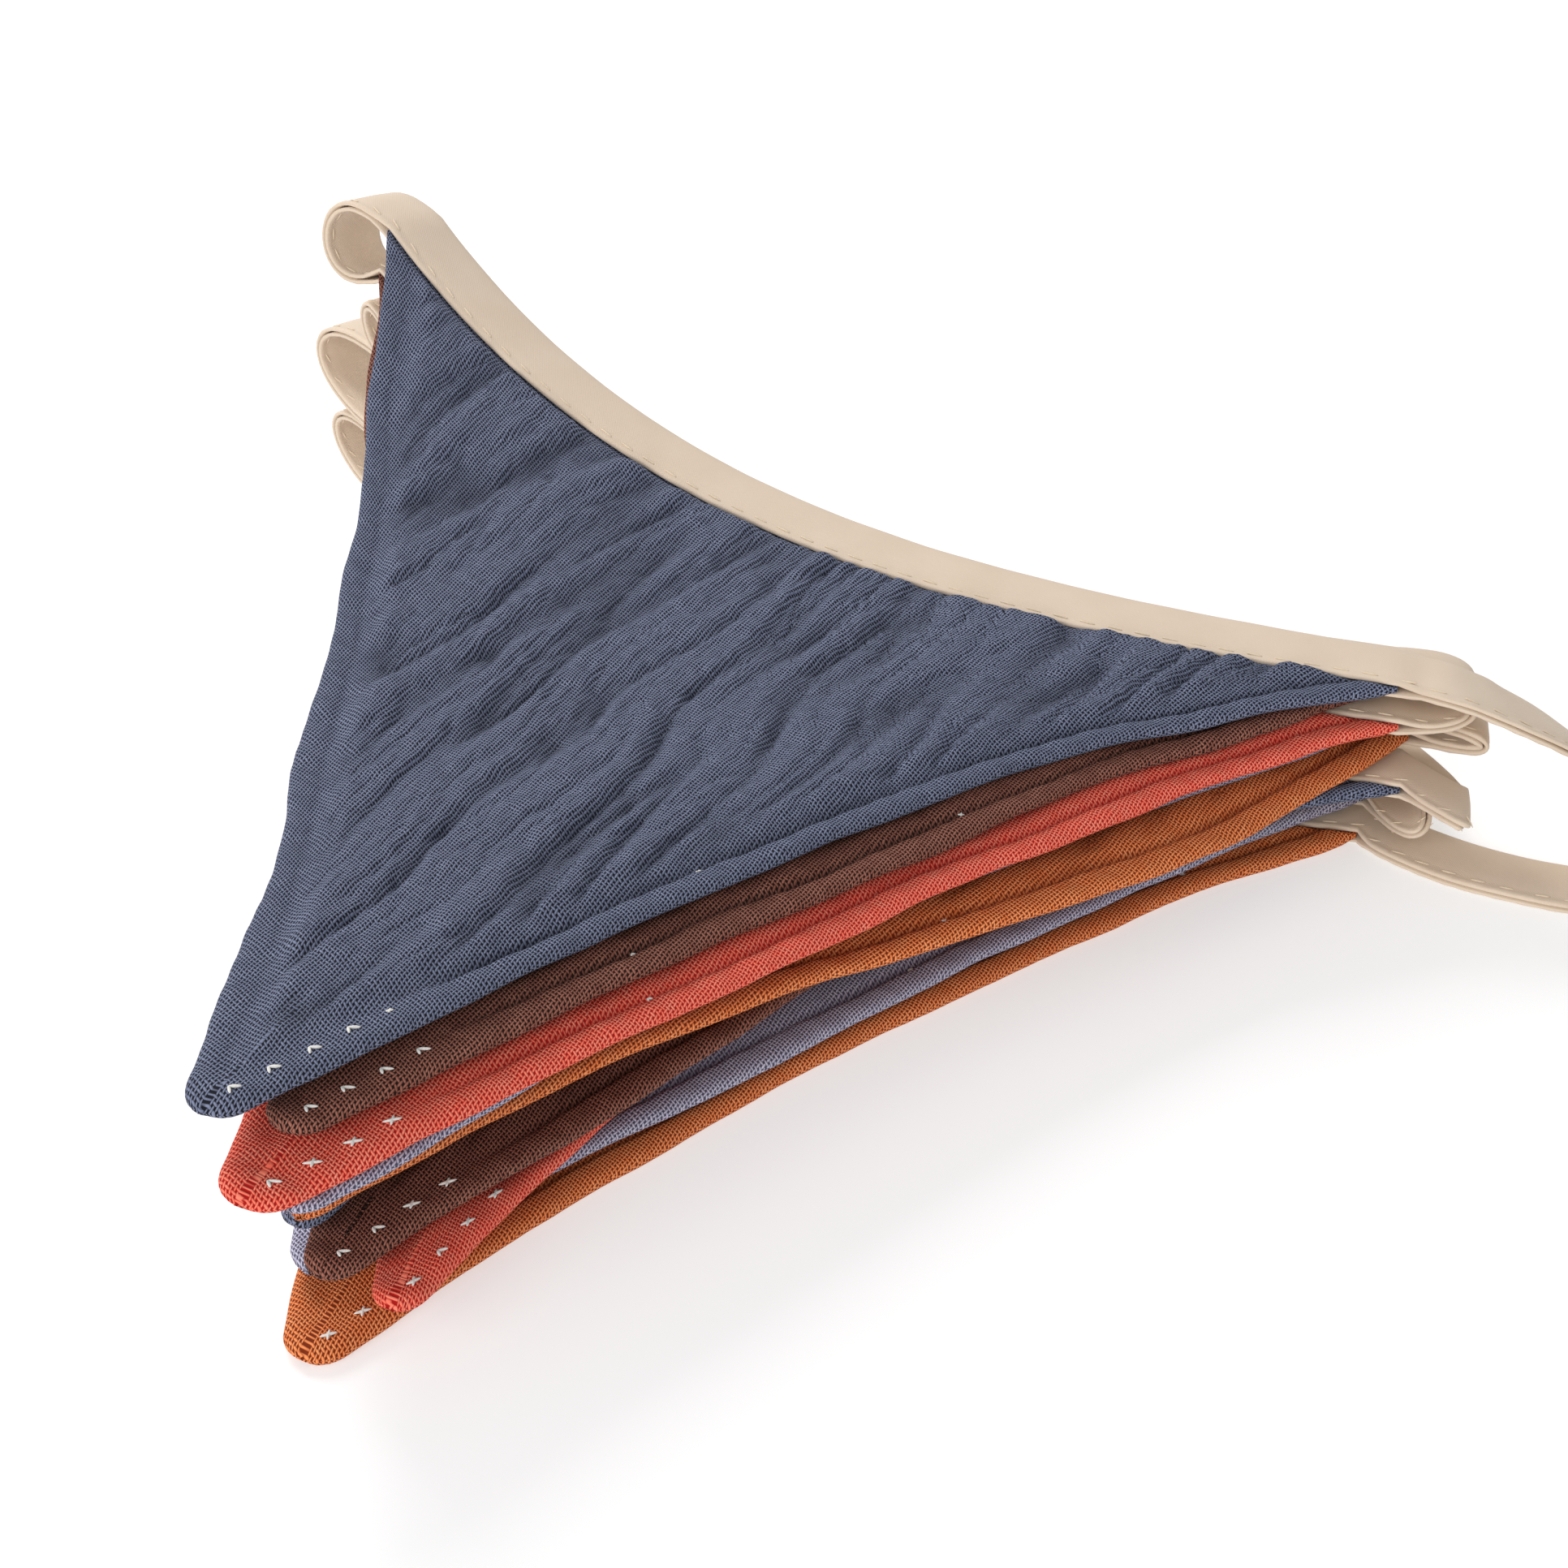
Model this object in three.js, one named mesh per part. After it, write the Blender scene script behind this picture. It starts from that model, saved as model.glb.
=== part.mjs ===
// A fabric bunting, folded up for storage: ten sewn triangular flags of crinkled double gauze, stacked in a
// zigzag on the one cotton bias tape that binds their top edges. The tape turns back in a springy loop after
// each flag, five at the left corner and four at the right, and its two free ends leave at the right.
// Millimetres, +Z up, +X from the left corner of the flags to the right one, tips towards -Y. The bunting lies
// on its underside, and the origin is the middle of that footprint's box, on the surface.
import * as THREE from 'three';
import { ParametricGeometry } from 'three/addons/geometries/ParametricGeometry.js';
import { mergeVertices } from 'three/addons/utils/BufferGeometryUtils.js';

// Driving dimensions
const FLAG = { width: 185, height: 178.4, tipRadius: 4, half: 1.2, shoulder: 1.8 };
const SEAM = { depth: 10.5, half: 0.45, taper: 0.6 };
const TAPE = { width: 12, wall: 0.7, bite: 0.75, shut: 0.2, tilt: 0.14 };
const REST = TAPE.bite + TAPE.wall;
const ORIGIN = { x: 25.18, y: -57.53 };

// The sewn rim, by distance from the flag's edge: puffed seam allowance, then the row of topstitching
const RIM = [
  { inset: 0, half: 0 },
  { inset: 0.7, half: 1.15 },
  { inset: 2.6, half: 1.4 },
  { inset: 4.8, half: 0.85 },
];

// How the pile is drawn up: heights of the top flag's corners, and the sag between each two of them
const LIFT = { left: 75, right: 34.6, tip: 44.9 };
const SAG = {
  tape: { depth: 12, skew: 0.38 },
  right: { depth: 2.2, skew: 0.55 },
  left: { depth: 15.5, skew: -0.45 },
};

// The inward bow of the tape edge and of the left edge, the same on all flags
const BOW = { tape: { depth: 14, skew: 0.13 }, left: { depth: 0.9, skew: 1.5 } };

// Raised crinkles along the cloth's warp
const CRINKLE = {
  pitch: 13, slowPitch: 22, top: 0.8, under: 0.4,
  wander: { reach: 4, wave: 37, start: 1.3 }, ripple: { reach: 2, wave: 17, cross: 23 },
};

// The flags from the top down: where each slipped to in the pile, its turn in degrees, the bow of its right
// edge, and how far its tip is drawn up towards the tape
const FLAGS = [
  { name: 'flag_01_slate', colour: 0x5a6178, dx: 0, dy: 0, turn: 0, bow: 14.6, skew: 0.45, draw: 0 },
  { name: 'flag_02_brown', colour: 0x76493a, dx: -1.6, dy: 2.5, turn: 2.4, bow: 8.5, skew: 0.3, draw: 4.3 },
  { name: 'flag_03_coral', colour: 0xe8553f, dx: 0.8, dy: -1.2, turn: 1.5, bow: 7, skew: 0.7, draw: -1 },
  { name: 'flag_04_lavender', colour: 0x9a96a8, dx: -1.4, dy: 4.3, turn: 3, bow: 9.8, skew: -0.1, draw: -1.4 },
  { name: 'flag_05_orange', colour: 0xc9632c, dx: 0.7, dy: 7.5, turn: 1.9, bow: 3.6, skew: -4, draw: -0.9 },
  { name: 'flag_06_slate', colour: 0x5a6178, dx: 2.6, dy: 0, turn: 0.5, bow: 23, skew: -0.1, draw: 10.6 },
  { name: 'flag_07_brown', colour: 0x76493a, dx: -3.1, dy: 8.7, turn: 3.5, bow: 13, skew: 0.5, draw: -1.4 },
  { name: 'flag_08_coral', colour: 0xe8553f, dx: -2.6, dy: 11.7, turn: 6.1, bow: 22.2, skew: 0.2, draw: -1.3 },
  { name: 'flag_09_lavender', colour: 0x9a96a8, dx: -5.6, dy: 10.5, turn: 1.4, bow: 2.6, skew: 1.5, draw: 5.6 },
  { name: 'flag_10_orange', colour: 0xc9632c, dx: -4.5, dy: 2.4, turn: 3, bow: 9.2, skew: 0.2, draw: 4.3 },
];
const FLAG_LAST = FLAGS.length - 1;

// The tape's loops from the top down: how far each reaches past the corners it joins, how much it swells over
// their spacing, and how far it drifts back from the flags' line
const LOOPS = [
  { reach: 12, swell: 11, drift: 2 },
  { reach: 9, swell: 1.5, drift: 4 },
  { reach: 9.5, swell: 7, drift: 8 },
  { reach: 11, swell: 1.5, drift: 0 },
  { reach: 29, swell: 9, drift: 17 },
  { reach: 12, swell: 1.5, drift: -10 },
  { reach: 23, swell: 8, drift: 16 },
  { reach: 9, swell: 1.5, drift: -12 },
  { reach: 7, swell: 0, drift: 12 },
];

// The tape's free ends, as points of its middle line from the last flag outwards
const TIES = {
  top: [
    [98.5, 6.2, 34.2], [103.7, 8.2, 32.4], [108, 10.3, 30], [113.5, 13.9, 26.2], [118.5, 18, 21.5],
    [124.5, 24, 14.5], [131, 31.5, 7], [139, 40, 2.2], [148, 48, 1], [158, 55, 1], [168, 60, 1],
  ],
  bottom: [
    [93, 10.2, 1.2], [103.2, 8.2, 1], [113.5, 8, 1], [123, 9.3, 1], [136, 12.5, 1],
    [150, 16, 1], [164, 18, 1], [176, 18.5, 1],
  ],
};

// How finely each surface is divided
const MESH = {
  top: { inner: 25, rows: 22 },
  under: { inner: 5, rows: 9 },
  loop: 10,
  tieExtra: 3,
  gapEase: 4,
  rimShare: 0.4,
  leftwards: 1.15,
};
const WEDGE = 0.3;
const BEZIER_REACH = 0.75;
const LOOP_LEAD = 0.2;
const SAME_POINT = 1e-4;

const vec = (x, y, z = 0) => new THREE.Vector3(x, y, z);
const lerp = THREE.MathUtils.lerp;
const slant = Math.hypot(1, 2 * FLAG.height / FLAG.width);
const apexHeight = FLAG.height + FLAG.tipRadius * (slant - 1);
const halfAngle = Math.atan(FLAG.width / 2 / apexHeight);
const CORNER = { left: vec(-FLAG.width / 2, 0), right: vec(FLAG.width / 2, 0), tip: vec(0, -apexHeight) };

// Height of the top flag's middle surface over a point of the plan
function pileHeight(x, y) {
  const c = -y / FLAG.height;
  const b = x / FLAG.width + (1 - c) / 2;
  const a = 1 - b - c;
  const sag = (rule, p, q) => 4 * p * q * rule.depth * (1 + rule.skew * (p - q));
  const chord = a * LIFT.left + b * LIFT.right + c * LIFT.tip;
  return chord - sag(SAG.tape, a, b) - sag(SAG.right, b, c) - sag(SAG.left, c, a);
}

// The middle surface of a flag: the top flag keeps the whole height, the last one none
function layerHeight(index, x, y) {
  return REST + (pileHeight(x, y) - REST) * (FLAG_LAST - index) / FLAG_LAST;
}

// A point of a flag's middle surface from its shares a, b, c of the left, right and tip corners
function flagPoint(index, a, b, c) {
  const flag = FLAGS[index];
  const point = vec(0, 0);
  point.addScaledVector(CORNER.left, a).addScaledVector(CORNER.right, b).addScaledVector(CORNER.tip, c);
  point.y += c * flag.draw;
  const bend = (from, to, p, q, rule) => {
    const inward = to.clone().sub(from).normalize();
    inward.set(inward.y, -inward.x, 0);
    point.addScaledVector(inward, 4 * p * q * rule.depth * (1 + rule.skew * (p - q)));
  };
  bend(CORNER.left, CORNER.right, a, b, BOW.tape);
  bend(CORNER.right, CORNER.tip, b, c, { depth: flag.bow, skew: flag.skew });
  bend(CORNER.tip, CORNER.left, c, a, BOW.left);
  point.applyAxisAngle(vec(0, 0, 1), THREE.MathUtils.degToRad(flag.turn)).add(vec(flag.dx, flag.dy));
  point.z = layerHeight(index, point.x, point.y);
  return point;
}

// The tape edge of a flag: a point at share t from left to right, and the way outwards there, which tilts up
const tapeEdge = (index, t) => flagPoint(index, 1 - t, t, 0);
function outwards(index, t) {
  const step = 0.01;
  const along = tapeEdge(index, t + step).sub(tapeEdge(index, t - step));
  const way = vec(-along.y, along.x).normalize();
  way.z = TAPE.tilt * (FLAG_LAST - index) / FLAG_LAST;
  return way.normalize();
}

// Columns of a flag from left to right on a row of the given width: the rims, with even steps between them
function columns(index, width) {
  const squeeze = Math.min(1, MESH.rimShare * width / RIM.at(-1).inset);
  const rim = RIM.map(({ inset, half }) => ({ share: inset * squeeze / width, half }));
  const inner = index === 0 ? MESH.top.inner : MESH.under.inner;
  const first = rim.at(-1).share;
  const middle = [];
  for (let k = 1; k <= inner; k += 1) {
    middle.push({ share: lerp(first, 1 - first, (k / (inner + 1)) ** MESH.leftwards), half: FLAG.half });
  }
  const mirrored = rim.map(({ share, half }) => ({ share: 1 - share, half })).reverse();
  return [...rim, ...middle, ...mirrored];
}

// Rows of a flag from inside the tape to the tip. Rows in the tape are told by how far out they lie, rows of
// the body by their distance from the tape edge.
function rows(index) {
  const body = index === 0 ? MESH.top.rows : MESH.under.rows;
  const list = [
    { out: SEAM.depth, half: 0 },
    { out: SEAM.depth - SEAM.taper, half: SEAM.half },
    { out: 0, half: SEAM.half },
    { down: FLAG.shoulder, half: FLAG.half },
  ];
  const end = FLAG.height - RIM.at(-1).inset;
  for (let k = 1; k < body; k += 1) {
    list.push({ down: lerp(FLAG.shoulder, end, k / body), half: FLAG.half });
  }
  for (const { inset, half } of [...RIM].reverse()) {
    list.push({ down: FLAG.height - inset, half });
  }
  return list;
}

// Half the width of the flat flag at a distance down from the tape edge, with the tip rounded
function halfWidth(down) {
  const left = apexHeight - down;
  const centre = FLAG.tipRadius / Math.sin(halfAngle);
  const tangent = centre - FLAG.tipRadius * Math.sin(halfAngle);
  const straight = left * Math.tan(halfAngle);
  if (left >= tangent) return { straight, round: straight };
  return { straight, round: Math.sqrt(Math.max(0, FLAG.tipRadius ** 2 - (centre - left) ** 2)) };
}

// The height of the crinkles over a point of the plan, from 0 to 1
function crinkle(x, y) {
  const { wander, ripple } = CRINKLE;
  const sway = wander.reach * Math.sin(y / wander.wave + wander.start);
  const bent = x + sway + ripple.reach * Math.sin(y / ripple.wave + x / ripple.cross);
  const wide = Math.cos(2 * Math.PI * bent / CRINKLE.pitch);
  const slow = Math.cos(2 * Math.PI * bent / CRINKLE.slowPitch + 2);
  return (2 + wide + slow) / 4;
}

// A closed body from a ring of points at each of a run of stations. The first and last rings are shut flat.
function closedBody(pointAt, around, stations) {
  const grid = new ParametricGeometry((u, v, target) => {
    target.copy(pointAt(Math.round(u * around) % around, Math.round(v * stations)));
  }, around, stations);
  grid.deleteAttribute('normal');
  grid.deleteAttribute('uv');
  const body = mergeVertices(grid, SAME_POINT);
  const corners = body.index.array;
  const kept = [];
  for (let k = 0; k < corners.length; k += 3) {
    const [p, q, r] = [corners[k], corners[k + 1], corners[k + 2]];
    if (p !== q && q !== r && r !== p) kept.push(p, q, r);
  }
  body.setIndex(kept);
  body.computeVertexNormals();
  return body;
}

// One flag: two panels sewn right sides together, turned, pressed and topstitched, with its raw top edge thin
// where the tape holds it
function flagGeometry(index) {
  const rowList = rows(index);
  const count = columns(index, FLAG.width).length;
  const around = 2 * (count - 1);
  const bottomFlag = index === FLAG_LAST;
  const raised = index === 0 ? CRINKLE.top : CRINKLE.under;
  return closedBody((ring, station) => {
    const row = rowList[station];
    const under = ring > 0 && ring < around - count + 1;
    const column = under ? ring : (around - ring) % around;
    const down = row.down ?? 0;
    const { straight, round } = halfWidth(down);
    const { share, half } = columns(index, Math.max(2 * round, 1))[column];
    const t = 0.5 + (share - 0.5) * round / straight;
    const c = down / apexHeight;
    const point = flagPoint(index, (1 - t) * (1 - c), t * (1 - c), c);
    if (row.out) point.addScaledVector(outwards(index, t), row.out);
    const thick = Math.min(half, row.half);
    if (under) {
      const flat = bottomFlag && row.down !== undefined && thick > 0;
      point.z -= flat ? point.z : thick;
    } else {
      const soft = thick >= FLAG.half ? raised * crinkle(point.x, point.y) : 0;
      point.z += thick + soft;
    }
    return point;
  }, around, rowList.length - 1);
}

// The stations of the tape on one flag, from its left corner to its right one
function runStations(index) {
  return columns(index, FLAG.width).map(({ share }) => {
    const across = outwards(index, share);
    return { at: tapeEdge(index, share).addScaledVector(across, TAPE.width / 2), across, gap: TAPE.bite };
  });
}

// The stations of a loop between the ends of two runs
function loopStations(from, to, side, { reach, swell, drift }) {
  const handle = reach / BEZIER_REACH;
  const push = (end, lift) => end.at.clone()
    .add(vec(side * handle, drift / BEZIER_REACH, lift))
    .addScaledVector(end.along, LOOP_LEAD * handle);
  const curve = new THREE.CubicBezierCurve3(from.at, push(from, swell), push(to, -swell), to.at);
  return inBetween(curve, from, to, MESH.loop);
}

// Stations along a curve, its ends left out, with the gap in the tape closing away from the flags
function inBetween(curve, from, to, steps) {
  const list = [];
  const length = curve.getLength();
  for (let k = 1; k < steps; k += 1) {
    const share = k / steps;
    const clear = length * Math.min(share, to.free ? share : 1 - share);
    const closing = Math.min(1, clear / MESH.gapEase);
    list.push({
      at: curve.getPoint(share),
      across: from.across.clone().lerp(to.across, share).normalize(),
      gap: lerp(TAPE.bite, TAPE.shut, closing),
    });
  }
  return list;
}

// The stations of a free end, from the last flag outwards
function tieStations(start, points) {
  const route = [start.at, ...points.map(([x, y, z]) => vec(x, y, z))];
  const curve = new THREE.CatmullRomCurve3(route, false, 'centripetal');
  const steps = points.length + MESH.tieExtra;
  const tip = { across: start.across, free: true };
  const list = [...inBetween(curve, start, tip, steps), { at: curve.getPoint(1), gap: TAPE.shut }];
  list.forEach((station, k) => {
    const way = curve.getTangent((k + 1) / steps);
    const level = vec(-way.y, way.x).normalize();
    station.across = start.across.clone().lerp(level, Math.min(1, (k + 1) / 3)).normalize();
  });
  const last = list.at(-1);
  list.push({ ...last, at: last.at.clone().addScaledVector(curve.getTangent(1), WEDGE) });
  return list;
}

// The whole tape in order: top free end, the runs to and fro with a loop after each, bottom free end
function tapeStations() {
  const runs = FLAGS.map((flag, index) => runStations(index));
  const heading = (near, past) => past.at.clone().sub(near.at).setZ(0).normalize();
  const ends = runs.map((run) => ({
    left: { ...run[0], along: heading(run[1], run[0]) },
    right: { ...run.at(-1), along: heading(run.at(-2), run.at(-1)) },
  }));
  const list = tieStations(ends[0].right, TIES.top).reverse();
  runs.forEach((run, index) => {
    const leftwards = index % 2 === 0;
    list.push(...(leftwards ? [...run].reverse() : run));
    if (index < FLAG_LAST) {
      const side = leftwards ? 'left' : 'right';
      list.push(...loopStations(ends[index][side], ends[index + 1][side], leftwards ? -1 : 1, LOOPS[index]));
    }
  });
  list.push(...tieStations(ends[FLAG_LAST].right, TIES.bottom));
  return list;
}

// The tape: folded lengthwise over the flags' raw edges, as a U that opens towards the flags. It is one strip,
// and away from the flags the U is shut.
function tapeGeometry() {
  const list = tapeStations();
  const half = TAPE.width / 2;
  const outer = (gap) => gap + TAPE.wall;
  const section = (gap) => [
    [-half, -outer(gap)], [half, -outer(gap)], [half, outer(gap)], [-half, outer(gap)],
    [-half, gap], [half - TAPE.wall, gap], [half - TAPE.wall, -gap], [-half, -gap],
  ];
  const shut = (gap) => {
    const middle = gap + TAPE.wall / 2;
    const fold = half - TAPE.wall / 2;
    const open = [[-half, -middle], [fold, -middle], [fold, middle], [-half, middle]];
    return [...open, ...open.toReversed()];
  };
  const last = list.length - 1;
  return closedBody((ring, station) => {
    const { at, across, gap } = list[station];
    const before = list[Math.max(0, station - 1)].at;
    const after = list[Math.min(last, station + 1)].at;
    const normal = after.clone().sub(before).cross(across).normalize();
    const [out, up] = (station === 0 || station === last ? shut(gap) : section(gap))[ring];
    return at.clone().addScaledVector(across, out).addScaledVector(normal, up);
  }, 8, last);
}

function cloth(colour) {
  return new THREE.MeshStandardMaterial({ color: colour, roughness: 0.9, metalness: 0 });
}

function piece(name, geometry, colour) {
  const mesh = new THREE.Mesh(geometry, cloth(colour));
  mesh.name = name;
  return mesh;
}

const bunting = new THREE.Group();
FLAGS.forEach((flag, index) => bunting.add(piece(flag.name, flagGeometry(index), flag.colour)));
bunting.add(piece('bias_tape', tapeGeometry(), 0xd8c3a8));
bunting.position.set(-ORIGIN.x, -ORIGIN.y, 0);

export default bunting;
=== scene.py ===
"""A fabric bunting folded up for storage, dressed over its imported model.

Ten triangular flags of crinkled double gauze lie in a zigzag pile on the one cotton bias tape that
binds them. Metres, +Z up, +X from the left corner of the flags to the right one, tips towards -Y. Shapes
are worked out in the pile's own frame, whose origin is the middle of the top flag's corner line, and
then moved by ORIGIN.
"""

import logging
import math
from dataclasses import dataclass, field
from enum import Enum
from functools import cached_property

import bmesh
import bpy
from mathutils import Matrix, Vector, noise
from mathutils.geometry import interpolate_bezier

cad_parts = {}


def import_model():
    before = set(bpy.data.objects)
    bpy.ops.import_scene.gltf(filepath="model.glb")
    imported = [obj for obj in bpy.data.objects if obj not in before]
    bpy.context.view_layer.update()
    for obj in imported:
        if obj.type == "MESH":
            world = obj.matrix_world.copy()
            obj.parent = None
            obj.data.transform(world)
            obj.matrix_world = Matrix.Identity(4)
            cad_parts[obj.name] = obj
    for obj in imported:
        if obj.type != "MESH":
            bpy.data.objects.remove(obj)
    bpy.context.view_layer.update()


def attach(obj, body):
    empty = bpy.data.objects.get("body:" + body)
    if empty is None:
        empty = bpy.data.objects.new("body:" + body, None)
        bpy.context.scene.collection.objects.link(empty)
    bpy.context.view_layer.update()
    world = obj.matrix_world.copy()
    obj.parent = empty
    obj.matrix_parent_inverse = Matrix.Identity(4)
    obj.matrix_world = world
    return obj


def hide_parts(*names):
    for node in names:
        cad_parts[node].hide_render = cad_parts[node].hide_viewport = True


LOG = logging.getLogger("bunting")
ORIGIN = Vector((0.02518, -0.05753, 0.0))
BODY = "root"
CLOTH_MAP = "cloth_map"
MERGE = 1e-6
CRINKLE_SEED = 3.1
STITCH_SEED = 5.7


class GauzeColour(Enum):
    """The five colours of gauze, by the word in their node and slot names."""

    SLATE = "slate"
    BROWN = "brown"
    CORAL = "coral"
    LAVENDER = "lavender"
    ORANGE = "orange"


class Face(Enum):
    """The two faces of a flag, by the way in which each looks."""

    UPPER = 1
    UNDER = -1


def blend(first: float, second: float, share: float) -> float:
    """Return the value at a share of the way from first to second."""
    return first + (second - first) * share


def ease(value: float) -> float:
    """Return value held between 0 and 1, with a smooth start and end."""
    held = min(1.0, max(0.0, value))
    return held * held * (3 - 2 * held)


def along_table(table: tuple[tuple[float, float], ...], place: float) -> float:
    """Read a table of (place, value) rows with straight lines between them.

    Args:
        table: Rows in rising order of place.
        place: Where to read it.

    Returns:
        The value there, or the last row's value past the end.
    """
    for (start, low), (end, high) in zip(table, table[1:]):
        if place <= end:
            return blend(low, high, max(0.0, place - start) / (end - start))
    return table[-1][1]


@dataclass(frozen=True)
class Bend:
    """How far a straight line gives way between its two ends."""

    depth: float
    skew: float

    def at(self, first: float, second: float) -> float:
        """Return the depth at a point with these shares of the line's two ends."""
        return 4 * first * second * self.depth * (1 + self.skew * (first - second))


@dataclass(frozen=True)
class FlagCut:
    """The flat shape that every flag is sewn to, and its profile from the edge inwards."""

    width: float = 0.185
    height: float = 0.1784
    tip_radius: float = 0.0055
    half: float = 0.0012
    seam_depth: float = 0.0105
    seam_half: float = 0.00045
    seam_rows: tuple[float, ...] = (-0.0105, -0.0099, -0.006, -0.002, 0.0)
    shoulder: float = 0.0018
    shoulder_rows: tuple[float, ...] = (0.0004, 0.0009, 0.0013, 0.0018)
    stitch_inset: float = 0.0048
    rim: tuple[tuple[float, float], ...] = (
        (0.0, 0.0),
        (0.0001, 0.00042),
        (0.0003, 0.00072),
        (0.0006, 0.00096),
        (0.0011, 0.00119),
        (0.0018, 0.00134),
        (0.0026, 0.0014),
        (0.0034, 0.0014),
        (0.0040, 0.0014),
        (0.0044, 0.0014),
        (0.0048, 0.0014),
        (0.0052, 0.0014),
        (0.0057, 0.00142),
        (0.0066, 0.0015),
        (0.0084, 0.0016),
        (0.0120, 0.0014),
        (0.0160, 0.0012),
    )

    @cached_property
    def apex_height(self) -> float:
        """Return the height that the flag would have with a sharp tip."""
        slant = math.hypot(1, 2 * self.height / self.width)
        return self.height + self.tip_radius * (slant - 1)

    @cached_property
    def half_angle(self) -> float:
        """Return half the angle at the tip."""
        return math.atan(self.width / 2 / self.apex_height)

    @cached_property
    def corners(self) -> tuple[Vector, Vector, Vector]:
        """Return the left corner, the right corner and the sharp tip."""
        half = self.width / 2
        return Vector((-half, 0, 0)), Vector((half, 0, 0)), Vector((0, -self.apex_height, 0))

    def straight_half(self, down: float) -> float:
        """Return half the width between the straight sides at a distance down from the tape edge."""
        return (self.apex_height - max(0.0, down)) * math.tan(self.half_angle)

    def half_width(self, down: float) -> float:
        """Return half the width at a distance down from the tape edge, with the tip rounded."""
        left = self.apex_height - max(0.0, down)
        centre = self.tip_radius / math.sin(self.half_angle)
        if left >= centre - self.tip_radius * math.sin(self.half_angle):
            return self.straight_half(down)
        return math.sqrt(max(0.0, self.tip_radius**2 - (centre - left) ** 2))

    @cached_property
    def rim_length(self) -> tuple[tuple[float, float], ...]:
        """Return how much more cloth than the plan shows lies between each rim row and the body."""
        rows = [(self.rim[-1][0], 0.0)]
        for (near, low), (far, high) in reversed(list(zip(self.rim, self.rim[1:]))):
            rows.append((near, rows[-1][1] + math.hypot(far - near, high - low) - (far - near)))
        return tuple(reversed(rows))

    def taken_up(self, inset: float) -> float:
        """Return how much more cloth than the plan shows lies from a point of the rim to the body."""
        return along_table(self.rim_length, inset)

    def inset(self, x: float, down: float) -> float:
        """Return how far a flat point lies inside the flag's two slanted sides and its rounded tip."""
        left = self.apex_height - max(0.0, down)
        centre = self.tip_radius / math.sin(self.half_angle)
        if left < centre and abs(x) < (centre - left) / math.tan(self.half_angle):
            return max(0.0, self.tip_radius - math.hypot(x, centre - left))
        return max(0.0, (self.straight_half(down) - abs(x)) * math.cos(self.half_angle))


@dataclass(frozen=True)
class StitchGroove:
    """The furrow along the topstitching, deep on the right side, faint on the left one and at the tip."""

    depth: float = 0.00115
    width: float = 0.0007
    left: float = 0.12
    start: tuple[float, float] = (0.022, 0.05)
    sway: float = 0.0011

    def at(self, inset: float, from_tip: float, right: bool, seed: float) -> float:
        """Return how strong the furrow is at a point of a flag, from 0 to 1.

        Args:
            inset: Distance in from the flag's edge.
            from_tip: Distance along the side from the tip.
            right: Whether this is the right side.
            seed: A number of the flag's own.

        Returns:
            The furrow's depth there, as a share of its full depth.
        """
        sway = self.sway * noise.noise(Vector((from_tip / 0.021, seed, 8.8)))
        profile = math.exp(-(((inset - FlagCut.stitch_inset - sway) / self.width) ** 2))
        uneven = 0.85 + 0.5 * noise.noise(Vector((from_tip / 0.013, seed, 1.7)))
        grown = ease((from_tip - self.start[0]) / (self.start[1] - self.start[0]))
        return profile * min(1.0, uneven) * (grown if right else self.left)


@dataclass(frozen=True)
class PileForm:
    """How the whole pile is drawn up, as heights over the plan."""

    cut: FlagCut = FlagCut()
    layers: int = 10
    rest: float = 0.00145
    lift: tuple[float, float, float] = (0.075, 0.0346, 0.0449)
    tape_sag: Bend = Bend(0.012, 0.38)
    right_sag: Bend = Bend(0.0022, 0.55)
    left_sag: Bend = Bend(0.0155, -0.45)

    def top(self, x: float, y: float) -> float:
        """Return the height of the top flag's middle surface over a point of the plan."""
        tip = -y / self.cut.height
        right = x / self.cut.width + (1 - tip) / 2
        left = 1 - right - tip
        chord = left * self.lift[0] + right * self.lift[1] + tip * self.lift[2]
        sag = self.tape_sag.at(left, right) + self.right_sag.at(right, tip) + self.left_sag.at(tip, left)
        return chord - sag

    def share(self, index: int) -> float:
        """Return a flag's share of the pile's height, from 1 for the top flag to 0 for the last one."""
        return (self.layers - 1 - index) / (self.layers - 1)

    def layer(self, index: int, x: float, y: float) -> float:
        """Return the height of one flag's middle surface over a point of the plan."""
        return blend(self.rest, self.top(x, y), self.share(index))


@dataclass(frozen=True)
class FlagPlace:
    """Where one flag slipped to in the pile, how it bends there, and how far its tip is drawn up."""

    colour: GauzeColour
    slip: tuple[float, float]
    turn: float
    right_bow: Bend
    draw: float
    grain: float


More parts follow.
